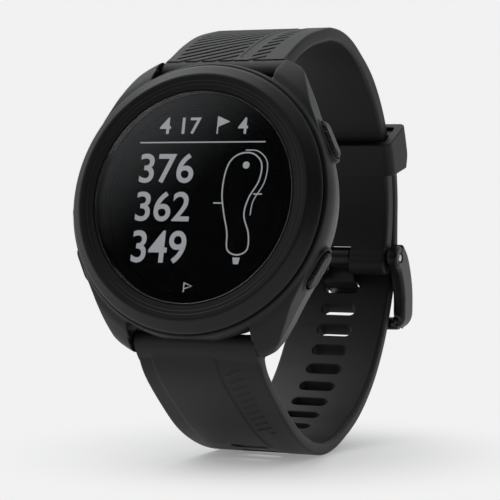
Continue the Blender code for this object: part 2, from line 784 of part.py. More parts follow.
def build_buckle(axes, finishes):
    """Frame and tang turn about the pin, so their origins are on it."""
    add("buckle_pin", along_x(rod(PIN_RADIUS, -11.4 * MM, 11.4 * MM)), finishes["steel"], axes, PIN)

    arm = ((59.8, -11.5), (61.9, -12.7), (63.7, -15.1), (64.9, -17.8), (65.0, -20.3))
    middle = FRAME_INNER + FRAME_WIRE
    right = [Vector((middle, y * MM, z * MM)) for y, z in arm]
    rounding = ((10.35, 0.5, 1.0), (9.7, 0.15, 0.3), (8.3, 0, 0))
    corner = [FAR_BAR + Vector(point) * MM for point in rounding]
    half = [point - PIN for point in right + corner]
    route = half + [Vector((-point.x, point.y, point.z)) for point in reversed(half)]
    frame = add("buckle_frame", tube_along(route, FRAME_WIRE), finishes["buckle"], axes, PIN)
    ears = []
    for low in (FRAME_INNER, -FRAME_INNER - 1.9 * MM):
        ears.append(along_x(rod(1.9 * MM, low, low + 1.9 * MM, 20)))
    shape_by(frame, "UNION", together(ears))
    shape_by(frame, "DIFFERENCE", along_x(rod(0.95 * MM, -12 * MM, 12 * MM)))

    place, along, out = slot_frames()[0]
    down = -along
    steps = (
        (-4.6, -3.1, 1.6),
        (-3.4, -2.2, 1.7),
        (-2.4, -1.98, 2.2),
        (-0.75, -1.95, 2.9),
        (-0.15, -1.0, 2.9),
        (0.0, 1.7, 2.9),
        (0.7, 2.75, 2.8),
        (2.4, 3.2, 2.3),
    )
    route = [place + down * s * MM + out * o * MM - PIN for s, o, _ in steps]
    rings = []
    thick = 0.4 * MM
    for i, (point, (_, _, wide)) in enumerate(zip(route, steps)):
        direction = (route[min(i + 1, len(route) - 1)] - route[max(i - 1, 0)]).normalized()
        across_plate = direction.cross(Vector((1, 0, 0))).normalized() * thick
        side = Vector((wide * MM, 0, 0))
        under, over = point - across_plate, point + across_plate
        rings.append([under - side, under + side, over + side, over - side])
    tang = add("buckle_tang", skin(rings), finishes["buckle"], axes, PIN)
    knuckle = along_x(rod(1.5 * MM, -1.85 * MM, 1.85 * MM, 16))
    shape_by(tang, "UNION", knuckle)
    shape_by(tang, "DIFFERENCE", along_x(rod(0.95 * MM, -12 * MM, 12 * MM)))


def main():
    clear_scene()
    middle = (SIDE_SHIFT, -FACE_SETBACK, FLOOR_DROP)
    watch_axes = axes_empty("watch_axes", middle, (math.pi / 2 - LEAN, 0, 0))
    strap_axes = axes_empty("strap_axes", middle, (0, 0, 0))
    finishes = {
        "polymer": material("polymer", (0.012, 0.012, 0.013), 0.5),
        "glass": material("glass", (0.02, 0.02, 0.022), 0.05, alpha=0.35),
        "silicone": material("silicone", (0.014, 0.014, 0.015), 0.6),
        "buckle": material("buckle", (0.01, 0.01, 0.011), 0.4),
        "seal": material("seal", (0.02, 0.02, 0.02), 0.8),
        "display": material("display", (0.03, 0.035, 0.03), 0.3),
        "diffuser": material("diffuser", (0.8, 0.82, 0.8), 0.5),
        "copper": material("copper", (0.6, 0.33, 0.2), 0.35, 1.0),
        "inner_plastic": material("inner_plastic", (0.04, 0.04, 0.045), 0.6),
        "foil": material("foil", (0.55, 0.56, 0.58), 0.4, 0.8),
        "tin": material("tin", (0.6, 0.6, 0.6), 0.35, 1.0),
        "board": material("board", (0.02, 0.12, 0.05), 0.5),
        "steel": material("steel", (0.5, 0.5, 0.5), 0.3, 1.0),
        "gold": material("gold", (0.8, 0.6, 0.25), 0.25, 1.0),
    }
    build_case(watch_axes, finishes["polymer"])
    build_front(watch_axes, finishes)
    build_inside(watch_axes, finishes)
    build_back(watch_axes, finishes)
    build_buttons(watch_axes, finishes)
    build_spring_bars(watch_axes, finishes)
    build_strap(strap_axes, finishes)
    build_keeper(strap_axes, finishes)
    build_buckle(strap_axes, finishes)


main()
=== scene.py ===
"""Looks of a round golf GPS watch on a silicone strap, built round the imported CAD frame.

Pieces are shaped in millimetres, on the watch's own axes (x across, y towards twelve o'clock, z out of
the lens, from the middle of the lens) or on the strap's (x across, y back, z up, from the same point).
"""

import json
import math

import bmesh
import bpy
import numpy as np
from mathutils import Matrix, Vector


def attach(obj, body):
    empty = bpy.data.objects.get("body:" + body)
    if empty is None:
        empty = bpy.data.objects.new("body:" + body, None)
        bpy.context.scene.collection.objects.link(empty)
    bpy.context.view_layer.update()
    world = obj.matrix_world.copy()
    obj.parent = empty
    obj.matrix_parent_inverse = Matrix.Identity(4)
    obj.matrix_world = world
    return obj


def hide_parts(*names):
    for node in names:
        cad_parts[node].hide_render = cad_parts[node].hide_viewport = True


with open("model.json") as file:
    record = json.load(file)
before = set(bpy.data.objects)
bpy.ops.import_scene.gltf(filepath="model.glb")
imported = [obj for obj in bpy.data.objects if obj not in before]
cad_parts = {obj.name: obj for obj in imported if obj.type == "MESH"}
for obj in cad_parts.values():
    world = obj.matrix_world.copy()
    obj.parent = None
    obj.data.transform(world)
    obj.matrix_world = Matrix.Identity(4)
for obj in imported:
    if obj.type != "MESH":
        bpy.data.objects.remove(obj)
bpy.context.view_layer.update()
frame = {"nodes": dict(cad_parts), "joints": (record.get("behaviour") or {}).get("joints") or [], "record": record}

MM = 0.001
BACK_DEPTH = 11.1  # from the front of the lens to the back of the case

mount = frame["record"]["mounts"][0]
ACROSS = Vector((1, 0, 0))
FACE_OUT = -Vector(mount["axis"]).normalized()
FACE_UP = FACE_OUT.cross(ACROSS)
FACE_MIDDLE = Vector(mount["pos_m"]) + FACE_OUT * BACK_DEPTH * MM
LEAN = math.atan2(FACE_UP.y, FACE_UP.z)
hinges = {joint["name"]: Vector(joint["pos_m"]) for joint in frame["joints"] if "pos_m" in joint}
LOOP_CENTRE = (hinges["keeper_slide_round_strap"] - FACE_MIDDLE) / MM
PIN = (hinges["buckle_frame_swing"] - FACE_MIDDLE) / MM

LENS_RADIUS = 16.25
BEZEL_BORE = 16.55
BEZEL_RADIUS = 20.6
CASE_RADIUS = 21.4
BUTTONS = {"enter": 27, "back": -27, "light": 153, "up": 180, "down": 207}  # degrees round the case
BUTTON_HEIGHT = -5.2
CAP_BACK = 20.9
CAP_FACE = 22.3
BAR_OUT = 21.5
BAR_DEPTH = -7.4
STRAP_WIDTH = 20.4
BUCKLE_WIDTH = 18.2
TAPER_START = 16
TAPER_END = 42
SHORT_ARC = 28.1
TAIL_ARC = 31.2
SLOT_PITCH = 4.15
SLOT_LENGTH = 6.4
SLOT_WIDTH = 2.1
SLOTS_PAST_TANG = 4
SLOTS_BEFORE_TANG = 12
SLOT_SLANT = 0.5
TANG_SLOT_PLACE = Vector((0, 61.4, -17.8))
KEEPER_ANGLE = 18.5
KEEPER_HALF_ANGLE = 6.5
KEEPER_WALL = 1.5
KEEPER_ROOM = 0.35
FRAME_MIDDLE = 10.4
FAR_BAR = Vector((0, 63.7, -23.3))
PIN_BORE = 0.95
PIN_RADIUS = 0.65

CAMERA_FROM_LENS = Vector((131.6, -269.8, 4.56))
CAMERA_TILT = 87.6
CAMERA_TURN = 24.33
CAMERA_LENS = 144.6
BACKGROUND = 0.885
DOME_SIDE = (-0.57, 0.58, 0.58)  # the studio is dark in front of the lens and pale on this side
DOME_DARK, DOME_PALE = 0.006, 0.7
DOME_EDGE = 0.075
FLOOR_START = 0.25  # how much of the background's shade the floor has right under the watch
FLOOR_FADE = 0.05


def axes(x_axis, y_axis, z_axis, origin):
    """The matrix that puts a shape's own axes along these directions."""
    matrix = Matrix.Identity(4)
    for column, axis in enumerate((x_axis, y_axis, z_axis, origin)):
        for row in range(3):
            matrix[row][column] = axis[row]
    return matrix


WATCH = axes(ACROSS, FACE_UP, FACE_OUT, FACE_MIDDLE) @ Matrix.Scale(MM, 4)
STRAP = Matrix.Translation(FACE_MIDDLE) @ Matrix.Scale(MM, 4)


# Outlines and shapes


def rounded(outline, radius, steps=4):
    """A closed outline with a curve in place of each corner; radius is one number, or one for each."""
    found = []
    points = [Vector(point) for point in outline]
    radii = radius if isinstance(radius, (list, tuple)) else [radius] * len(points)
    for i, point in enumerate(points):
        before = points[i - 1] - point
        after = points[(i + 1) % len(points)] - point
        cut = min(radii[i], before.length * 0.45, after.length * 0.45)
        if cut < 1e-4:
            found.append(point)
            continue
        a = point + before.normalized() * cut
        b = point + after.normalized() * cut
        for k in range(steps + 1):
            t = k / steps
            found.append(a * (1 - t) ** 2 + point * 2 * t * (1 - t) + b * t**2)
    return found


def stadium(length, width, steps=10):
    """An outline with straight sides and round ends, long along X."""
    half = (length - width) / 2
    points = []
    for start, centre in ((-90, half), (90, -half)):
        for i in range(steps + 1):
            turn = math.radians(start + 180 * i / steps)
            points.append((centre + width / 2 * math.cos(turn), width / 2 * math.sin(turn)))
    return points


def lathe(profile, sides=192):
    """Turns a closed outline of (radius, height) points about Z."""
    shape = bmesh.new()
    rings = []
    for radius, height in profile:
        count = 1 if radius < 1e-6 else sides
        turns = [2 * math.pi * i / sides for i in range(count)]
        rings.append([shape.verts.new((radius * math.cos(a), radius * math.sin(a), height)) for a in turns])
    for here, there in zip(rings, rings[1:] + rings[:1]):
        if len(here) == 1 and len(there) == 1:
            continue
        for i in range(sides):
            j = (i + 1) % sides
            corners = [here[i % len(here)], here[j % len(here)]]
            corners += [there[j % len(there)], there[i % len(there)]]
            shape.faces.new(list(dict.fromkeys(corners)))
    bmesh.ops.recalc_face_normals(shape, faces=shape.faces)
    return shape


def skin(rings):
    """Joins rings of equal point counts and caps the two ends."""
    shape = bmesh.new()
    made = [[shape.verts.new(point) for point in ring] for ring in rings]
    shape.faces.new(made[0])
    shape.faces.new(made[-1])
    for here, there in zip(made, made[1:]):
        for i in range(len(here)):
            j = (i + 1) % len(here)
            shape.faces.new((here[i], here[j], there[j], there[i]))
    bmesh.ops.recalc_face_normals(shape, faces=shape.faces)
    return shape


def prism(outline, low, high):
    """A flat outline raised from z = low to z = high."""
    return skin([[Vector((x, y, z)) for x, y in outline] for z in (low, high)])


def pillow(outline, low, high, edge, steps=5):
    """A prism whose top edge is rounded by drawing the outline in towards its middle."""
    middle = sum((Vector(point) for point in outline), Vector((0, 0))) / len(outline)
    reach = min((Vector(point) - middle).length for point in outline)
    rings = [[Vector((x, y, low)) for x, y in outline]]
    for k in range(steps + 1):
        turn = math.pi / 2 * k / steps
        shrink = 1 - edge * (1 - math.cos(turn)) / reach
        height = high - edge + edge * math.sin(turn)
        ring = [middle + (Vector(point) - middle) * shrink for point in outline]
        rings.append([Vector((point.x, point.y, height)) for point in ring])
    return skin(rings)


def rod(radius, low, high, sides=32):
    """A plain cylinder along Z, for bores and shafts."""
    return lathe([(0, low), (radius, low), (radius, high), (0, high)], sides)


def moved(shape, matrix):
    bmesh.ops.transform(shape, matrix=matrix, verts=shape.verts)
    return shape


def along_x(shape):
    """Lays a shape made along Z along X."""
    return moved(shape, Matrix.Rotation(math.pi / 2, 4, "Y"))


FACE_ALONG_X = Matrix(((0, 0, 1, 0), (1, 0, 0, 0), (0, 1, 0, 0), (0, 0, 0, 1)))


def across(outline, low, high):
    """Stands a (y, z) outline across the watch, from x = low to x = high."""
    return moved(prism(outline, low, high), FACE_ALONG_X)


def radial(angle, shape):
    """Turns a shape that faces +X to an angle round the case, at the buttons' height."""
    place = Matrix.Translation((0, 0, BUTTON_HEIGHT))
    return moved(shape, place @ Matrix.Rotation(math.radians(angle), 4, "Z"))


def together(shapes):
    """One mesh that holds all the shapes."""
    whole = bmesh.new()
    for shape in shapes:
        mesh = bpy.data.meshes.new("joined")
        shape.to_mesh(mesh)
        shape.free()
        whole.from_mesh(mesh)
        bpy.data.meshes.remove(mesh)
    return whole


def tube(points, radius, sides):
    """A round wire through points."""
    rings = []
    side = Vector((1, 0, 0))
    for i, point in enumerate(points):
        along = (points[min(i + 1, len(points) - 1)] - points[max(i - 1, 0)]).normalized()
        if abs(side.dot(along)) > 0.98:
            side = along.orthogonal()
        side = (side - along * side.dot(along)).normalized()
        other = along.cross(side)
        turns = [2 * math.pi * (k + 0.5) / sides for k in range(sides)]
        rings.append([point + side * radius * math.cos(a) + other * radius * math.sin(a) for a in turns])
    return skin(rings)


def blade(points, half_across, half_deep):
    """A wire with a deep rounded section where it runs off the X direction, and a round one along it."""
    rings = []
    for i, point in enumerate(points):
        along = (points[min(i + 1, len(points) - 1)] - points[max(i - 1, 0)]).normalized()
        lying = abs(along.x)
        side = (ACROSS - along * along.x) if lying < 0.98 else Vector((0, 0, 1))
        side.normalize()
        deep = half_deep + (half_across - half_deep) * lying
        other = along.cross(side)
        corners = [(-half_across, -deep), (half_across, -deep), (half_across, deep), (-half_across, deep)]
        rings.append([point + side * a + other * b for a, b in rounded(corners, 0.7, 6)])
    return skin(rings)


def temporary(shape, name="temporary"):
    """A scene object for the shape, for as long as a modifier needs one."""
    mesh = bpy.data.meshes.new(name)
    shape.to_mesh(mesh)
    shape.free()
    obj = bpy.data.objects.new(name, mesh)
    bpy.context.scene.collection.objects.link(obj)
    return obj


def evaluated(obj):
    """The object's shape with its modifiers; the object goes."""
    bpy.context.view_layer.update()
    graph = bpy.context.evaluated_depsgraph_get()
    shape = bmesh.new()
    shape.from_object(obj, graph)
    mesh = obj.data
    bpy.data.objects.remove(obj)
    bpy.data.meshes.remove(mesh)
    return shape


def combined(shape, *steps):
    """The shape after Boolean steps, each an operation and another shape."""
    for operation, other in steps:
        target = temporary(shape)
        helper = temporary(other, "helper")
        modifier = target.modifiers.new("step", "BOOLEAN")
        modifier.operation = operation
        modifier.object = helper
        modifier.solver = "EXACT"
        shape = evaluated(target)
        bpy.data.objects.remove(helper)
    return shape


def moulded(shape, voxel, passes):
    """One soft-edged skin over overlapping shapes, as a moulded or cast piece has."""
    target = temporary(shape)
    remesh = target.modifiers.new("remesh", "REMESH")
    remesh.mode = "VOXEL"
    remesh.voxel_size = voxel
    smooth = target.modifiers.new("smooth", "SMOOTH")
    smooth.factor = 0.5
    smooth.iterations = passes
    return evaluated(target)


def piece(name, shape, place, finish, body, replaced=(), weighted=False):
    """Adds a finished piece, and says which body it rides on and which CAD nodes it stands in for."""
    shape = moved(shape, place)
    bmesh.ops.recalc_face_normals(shape, faces=shape.faces)
    mesh = bpy.data.meshes.new(name)
    shape.to_mesh(mesh)
    shape.free()
    mesh.shade_smooth()
    mesh.materials.append(finish)
    obj = bpy.data.objects.new(name, mesh)
    bpy.context.scene.collection.objects.link(obj)
    if weighted:
        mesh.set_sharp_from_angle(angle=math.radians(50))
        modifier = obj.modifiers.new("weighted", "WEIGHTED_NORMAL")
        modifier.keep_sharp = True
    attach(obj, body)
    if replaced:
        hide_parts(*replaced)


# Materials


def finish(
    name, colour, roughness, metallic=0.0, grain=3500, bump=0.06, mottle=0.25, spread=0.08, specular=0.23
):
    """A surface with fine grain, slow changes of shade and uneven gloss."""
    material = bpy.data.materials.new(name)
    material.use_nodes = True
    nodes, links = material.node_tree.nodes, material.node_tree.links
    shader = nodes["Principled BSDF"]
    shader.inputs["Metallic"].default_value = metallic
    shader.inputs["Specular IOR Level"].default_value = specular
    place = nodes.new("ShaderNodeTexCoord").outputs["Object"]

    fine = nodes.new("ShaderNodeTexNoise")
    fine.inputs["Scale"].default_value = grain
    fine.inputs["Detail"].default_value = 3
    slow = nodes.new("ShaderNodeTexNoise")
    slow.inputs["Scale"].default_value = 180
    slow.inputs["Detail"].default_value = 5
    slow.inputs["Roughness"].default_value = 0.65
    for node in (fine, slow):
        links.new(place, node.inputs["Vector"])

    shade = nodes.new("ShaderNodeMix")
    shade.data_type = "RGBA"
    base = Vector(colour)
    shade.inputs[6].default_value = (*(base * (1 - mottle)), 1)
    shade.inputs[7].default_value = (*(base * (1 + mottle)), 1)
    links.new(slow.outputs["Fac"], shade.inputs["Factor"])
    links.new(shade.outputs[2], shader.inputs["Base Color"])

    gloss = nodes.new("ShaderNodeMapRange")
    gloss.inputs["To Min"].default_value = max(0.02, roughness - spread)
    gloss.inputs["To Max"].default_value = roughness + spread
    links.new(fine.outputs["Fac"], gloss.inputs["Value"])
    links.new(gloss.outputs["Result"], shader.inputs["Roughness"])

    relief = nodes.new("ShaderNodeBump")
    relief.inputs["Strength"].default_value = bump
    relief.inputs["Distance"].default_value = 0.0001
    links.new(fine.outputs["Fac"], relief.inputs["Height"])
    links.new(relief.outputs["Normal"], shader.inputs["Normal"])
    return material


def stippled(name, colour, roughness, pitch):
    """A pebbled grip surface: rounded cells over the fine grain."""
    material = finish(name, colour, roughness, bump=0.1)
    nodes, links = material.node_tree.nodes, material.node_tree.links
    cells = nodes.new("ShaderNodeTexVoronoi")
    cells.feature = "SMOOTH_F1"
    cells.inputs["Scale"].default_value = 1 / pitch
    coordinate = next(node for node in nodes if node.type == "TEX_COORD")
    links.new(coordinate.outputs["Object"], cells.inputs["Vector"])
    first = next(node for node in nodes if node.type == "BUMP")
    second = nodes.new("ShaderNodeBump")
    second.invert = True
    second.inputs["Strength"].default_value = 0.7
    second.inputs["Distance"].default_value = 0.00025
    links.new(cells.outputs["Distance"], second.inputs["Height"])
    links.new(first.outputs["Normal"], second.inputs["Normal"])
    links.new(second.outputs["Normal"], nodes["Principled BSDF"].inputs["Normal"])
    return material


def clear_glass():
    tint = (0.9, 0.92, 0.95)
    material = finish("lens_glass", tint, 0.03, grain=900, bump=0.003, mottle=0.02, spread=0.012)
    shader = material.node_tree.nodes["Principled BSDF"]
    shader.inputs["Transmission Weight"].default_value = 1
    shader.inputs["Specular IOR Level"].default_value = 0.5
    shader.inputs["IOR"].default_value = 1.5
    return material


def painted_light_film(name, colour, strength):
    """Display segments: a dull film that also glows, as painted light in place of the lamp light that the lens
    keeps from them, so that the digits read from any side.
    """
    material = finish(name, Vector(colour) * 0.1, 0.4, grain=2500, bump=0.02, mottle=0.05)
    shader = material.node_tree.nodes["Principled BSDF"]
    # the emission is painted light, not a lamp in the watch
    shader.inputs["Emission Color"].default_value = (*colour, 1)
    shader.inputs["Emission Strength"].default_value = strength
    return material


def grey(value):
    """A near-black with a slight cool cast."""
    return (value * 0.98, value * 0.99, value * 1.02)


INK_BLACK = (0.0012, 0.0012, 0.0013)
FINISHES = {
    "case": finish("case_polymer", grey(0.007), 0.42, grain=5200, bump=0.10, mottle=0.14),
    "bezel": finish("bezel_polymer", grey(0.0075), 0.4, grain=6500, bump=0.07, mottle=0.12),
    "back": finish("case_back_polymer", grey(0.007), 0.45, grain=5200, bump=0.12, mottle=0.15),
    "cap": stippled("button_cap", grey(0.014), 0.36, 0.00034),
    "silicone": finish("strap_silicone", grey(0.0075), 0.5, grain=7000, bump=0.07, mottle=0.16, spread=0.1),
    "buckle": finish("buckle_black", grey(0.008), 0.33, grain=8000, bump=0.05, mottle=0.2),
    "rubber": finish("seal_rubber", grey(0.008), 0.75, bump=0.12),
    "display": finish("display_film", INK_BLACK, 0.8, grain=9000, bump=0.02, specular=0.1),
    "print": finish("lens_border_print", INK_BLACK, 0.8, grain=4000, bump=0.02, specular=0.1),
    "guide": finish("light_guide", (0.8, 0.82, 0.8), 0.5, bump=0.03, mottle=0.05),
    "copper": finish("antenna_copper", (0.72, 0.4, 0.25), 0.32, metallic=1, bump=0.05),
    "plastic": finish("inner_plastic", grey(0.04), 0.55, bump=0.1),
    "foil": finish("battery_foil", (0.55, 0.56, 0.58), 0.35, metallic=0.9, grain=1400, bump=0.2),
    "tin": finish("shield_tin", (0.6, 0.6, 0.6), 0.3, metallic=1, bump=0.06),
    "board": finish("circuit_board", (0.02, 0.13, 0.06), 0.4, grain=1800, bump=0.15),
    "steel": finish("small_steel", (0.5, 0.5, 0.51), 0.28, metallic=1, grain=6000, bump=0.05),
    "gold": finish("contact_gold", (0.85, 0.62, 0.26), 0.25, metallic=1, grain=5000, bump=0.05),
    "glass": clear_glass(),
    # the digits glow with painted light in place of the light that reaches them through the lens
    "digits": painted_light_film("display_painted_light_grey", (0.5, 0.51, 0.52), 0.62),
}
SLOT_FINISH = {
    "case_polymer": "case",
    "lens_glass": "glass",
    "strap_silicone": "silicone",
    "buckle_metal": "buckle",
    "seal_rubber": "rubber",
    "display_film": "display",
    "light_guide": "guide",
    "antenna_copper": "copper",
    "inner_plastic": "plastic",
    "battery_foil": "foil",
    "shield_tin": "tin",
    "circuit_board": "board",
    "small_steel": "steel",
    "contact_gold": "gold",
}


def dress_cad_nodes():
    """Gives each CAD node that stays in view the finish of its slot."""
    for row in frame["record"]["subparts"]:
        obj = frame["nodes"][row["node"]]
        obj.data.materials.clear()
        obj.data.materials.append(FINISHES[SLOT_FINISH[row["material_slot"]]])


# Case


def lug_shapes():
    """The four lugs, from two outlines mirrored round the case, under one domed top."""
    dome = (
        (0, -2.4),
        (20.9, -2.4),
        (21.7, -2.75),
        (22.5, -3.2),
        (23.7, -4.4),
        (24.4, -5.2),
        (25.0, -6.1),
        (25.25, -7.0),
        (25.1, -8.3),
        (24.6, -9.4),
        (23.8, -10.0),
        (22.8, -10.2),
        (0, -10.2),
    )
    inner_edge = [(17.0, 10.1), (10.2, 10.4), (10.2, 26)]
    outer_edge = [(12.0, 23.3), (13.2, 21.6), (13.9, 20.6), (15.2, 18), (16.5, 15)]
    outer_edge += [(17.9, 12.2), (18.6, 10.6)]
    taper = 0.93
    outlines = []
    for v in (1, -1):
        for u in (1, -1):
            rings = []
            for height, size in ((0, 1), (-6.2, 1), (-12, taper)):
                points = inner_edge + [(x * size, y * size) for x, y in outer_edge]
                rings.append([Vector((u * x, v * y, height)) for x, y in points])
            outlines.append(skin(rings))
    return combined(together(outlines), ("INTERSECT", lathe(rounded(dome, 0.7, 5), 192)))


def button_seats():
    """Low rims round the buttons, and the pockets inside them."""
    rims = []
    pockets = []
    for angle in BUTTONS.values():
        rim = pillow(stadium(7.5, 3.7), 19.5, 21.75, 0.3)
        rims.append(radial(angle, moved(rim, FACE_ALONG_X)))
        pocket = prism(stadium(6.5, 2.9), 20.25, 24)
        pockets.append(radial(angle, moved(pocket, FACE_ALONG_X)))
    return together(rims), together(pockets)


def build_case():
    """The case middle: a turned barrel with lugs and button rims, hollowed for what it holds."""
    outside = [
        (0, -1.8),
        (20.95, -1.8),
        (21.15, -2.05),
        (21.3, -2.7),
        (CASE_RADIUS, -3.5),
        (CASE_RADIUS, -4.4),
        (21.1, -6.2),
        (20.5, -8.2),
        (19.9, -9.8),
        (19.5, -10.3),
        (0, -10.3),
    ]
    recess_side = [(19.3, -12.5), (19.3, -6.4), (19.9, -5.2), (20.95, -5), (20.95, -2.1)]
    recess_side += [(26, -2.1), (26, -12.5)]
    recesses = []
    for sign in (1, -1):
        recesses.append(across([(sign * out, height) for out, height in recess_side], -10.5, 10.5))
    cavity = [(0, -1), (19.2, -1), (19.2, -3.5), (18.4, -3.5), (18.4, -9), (19, -9), (19, -12), (0, -12)]
    rims, pockets = button_seats()
    bars = []
    for sign in (1, -1):
        hole = along_x(rod(0.7, -11.7, 11.7))
        bars.append(moved(hole, Matrix.Translation((0, sign * BAR_OUT, BAR_DEPTH))))
    shape = combined(
        lathe(outside),
        ("UNION", lug_shapes()),
        ("UNION", rims),
        ("DIFFERENCE", together(recesses)),
        ("DIFFERENCE", lathe(cavity)),
        ("DIFFERENCE", pockets),
        ("DIFFERENCE", together(bars)),
    )
    shape = moulded(shape, 0.14, 8)
    piece("case_shell", shape, WATCH, FINISHES["case"], "case", ["case_middle"])


def build_front():
    """The bezel, the lens and the black border printed under the lens."""
    bezel = [
        (BEZEL_BORE, -0.02),
        (17.3, 0.05),
        (17.38, 0.11),
        (17.85, 0.14),
        (17.93, 0.2),
        (18.85, 0.32),
        (20.3, -0.85),
        (BEZEL_RADIUS, -1.2),
        (BEZEL_RADIUS, -1.5),
        (18.9, -1.5),
        (18.9, -3.2),
        (18.1, -3.2),
        (18.1, -2.9),
        (14.8, -2.9),
        (14.8, -2.1),
        (BEZEL_BORE, -2.1),
    ]
    radii = [0.08] + [0.03] * 4 + [0.3, 0.25, 0.12] + [0.1] * 8
    ring = lathe(rounded(bezel, radii, 5), 256)
    piece("bezel_ring", ring, WATCH, FINISHES["bezel"], "case", ["bezel"], True)

    lens = [(0, 0), (LENS_RADIUS, 0), (LENS_RADIUS, -1.3), (0, -1.3)]
    glass = lathe(rounded(lens, [0, 0.12, 0.05, 0], 6), 256)
    piece("lens_crystal", glass, WATCH, FINISHES["glass"], "case", ["lens"], True)

    border = [(14.35, -1.45), (15.0, -1.38), (16.15, -1.38), (16.15, -1.5), (14.4, -1.5)]
    print_ring = lathe(rounded(border, 0.03))
    piece("lens_border_print", print_ring, WATCH, FINISHES["print"], "case", (), True)


def build_gap_shade_ring():
    """A black ring that fills the gap between the lens and the bezel: painted shade, standing in for the shadow in
    that narrow gap.
    """
    outline = rounded([(16.27, -0.16), (16.5, -0.16), (16.5, -1.55), (16.27, -1.55)], 0.04)
    ring = lathe(outline, 256)
    piece("lens_gap_shade_ring", ring, WATCH, FINISHES["rubber"], "case", (), True)


def build_back():
    """The back plate, with a shallow ring, screw seats and the opening of the charging port."""
    plate = [(0, -11.1), (18.2, -11.1), (18.7, -10.55), (18.7, -9.9), (0, -9.9)]
    shape = lathe(rounded(plate, [0, 0.4, 0.2, 0.1, 0], 5))
    ring = lathe(rounded([(15.6, -11.3), (16.0, -11.3), (16.0, -10.95), (15.6, -10.95)], 0.1))
    port = Matrix.Translation((0, -11.5, 0))
    cuts = [moved(prism(stadium(8, 4.2), -12, -9), port)]
    for angle in (60, 120, 240, 300):
        turn = math.radians(angle)
        seat = [(0, -12), (1.4, -12), (1.4, -10.3), (0.85, -10.3), (0.85, -9), (0, -9)]
        place = Matrix.Translation((16.7 * math.cos(turn), 16.7 * math.sin(turn), 0))
        cuts.append(moved(lathe(seat, 32), place))
    shape = combined(shape, ("DIFFERENCE", ring), ("DIFFERENCE", together(cuts)))
    shape = moulded(shape, 0.12, 3)
    piece("case_back_plate", shape, WATCH, FINISHES["back"], "case", ["case_back"])


def build_buttons():
    """Five stippled caps on their stems."""
    for name, angle in BUTTONS.items():
        cap = moved(pillow(stadium(5.9, 2.3), CAP_BACK, CAP_FACE, 0.32), FACE_ALONG_X)
        stem = along_x(rod(0.55, 17.9, 21.2))
        shape = radial(angle, together([cap, stem]))
        button = f"{name}_button"
        piece(f"{button}_cap", shape, WATCH, FINISHES["cap"], button, [button], True)


# Display


def text_shape(body, left, right, low, high):
    """Digits stretched to fill a box on the display."""
    curve = bpy.data.curves.new("digits", "FONT")
    curve.body = body
    curve.extrude = 0.01
    curve.offset = 0.012
    obj = bpy.data.objects.new("digits", curve)
    bpy.context.scene.collection.objects.link(obj)
    bpy.context.view_layer.update()
    mesh = bpy.data.meshes.new_from_object(obj)
    bpy.data.objects.remove(obj)
    shape = bmesh.new()
    shape.from_mesh(mesh)
    bpy.data.meshes.remove(mesh)
    xs = [vert.co.x for vert in shape.verts]
    ys = [vert.co.y for vert in shape.verts]
    scale_x = (right - left) / (max(xs) - min(xs))
    scale_y = (high - low) / (max(ys) - min(ys))
    for vert in shape.verts:
        x = left + (vert.co.x - min(xs)) * scale_x
        y = low + (vert.co.y - min(ys)) * scale_y
        vert.co = Vector((x, y, vert.co.z))
    return shape


def line_shape(points, width, closed=False):
    """A thin flat stroke through points on the display."""
    points = [Vector((x, y, 0)) for x, y in points]
    if closed:
        points.append(points[0])
    return tube(points, width / 2, 8)


def smooth_curve(points, count, closed=False):
    """Even steps of a Catmull-Rom curve through flat points."""
    knots = [Vector(point) for point in points]
    if closed:
        knots = [knots[-1]] + knots + knots[:2]
    else:
        knots = [knots[0] * 2 - knots[1]] + knots + [knots[-1] * 2 - knots[-2]]
    found = []
    for a, b, c, d in zip(knots, knots[1:], knots[2:], knots[3:]):
        for i in range(count):
            t = i / count
            square = (a * 2 - b * 5 + c * 4 - d) * t**2
            cube = (b * 3 - a - c * 3 + d) * t**3
            found.append(0.5 * (b * 2 + (c - a) * t + square + cube))
    if not closed:
        found.append(knots[-2])
    return found


SHOWN_SHIFT = Vector((-0.5, 0.25))  # the display lies under the lens, so what shows is drawn this far aside
INK_HEIGHT = -1.56


def ink(name, shapes):
    """Flattens the shapes and lays them on the display."""
    shape = together(shapes)
    place = Matrix.Translation((SHOWN_SHIFT.x, SHOWN_SHIFT.y, INK_HEIGHT))
    moved(shape, place @ Matrix.Diagonal((1, 1, 0.15, 1)))
    piece(name, shape, WATCH, FINISHES["digits"], "case")


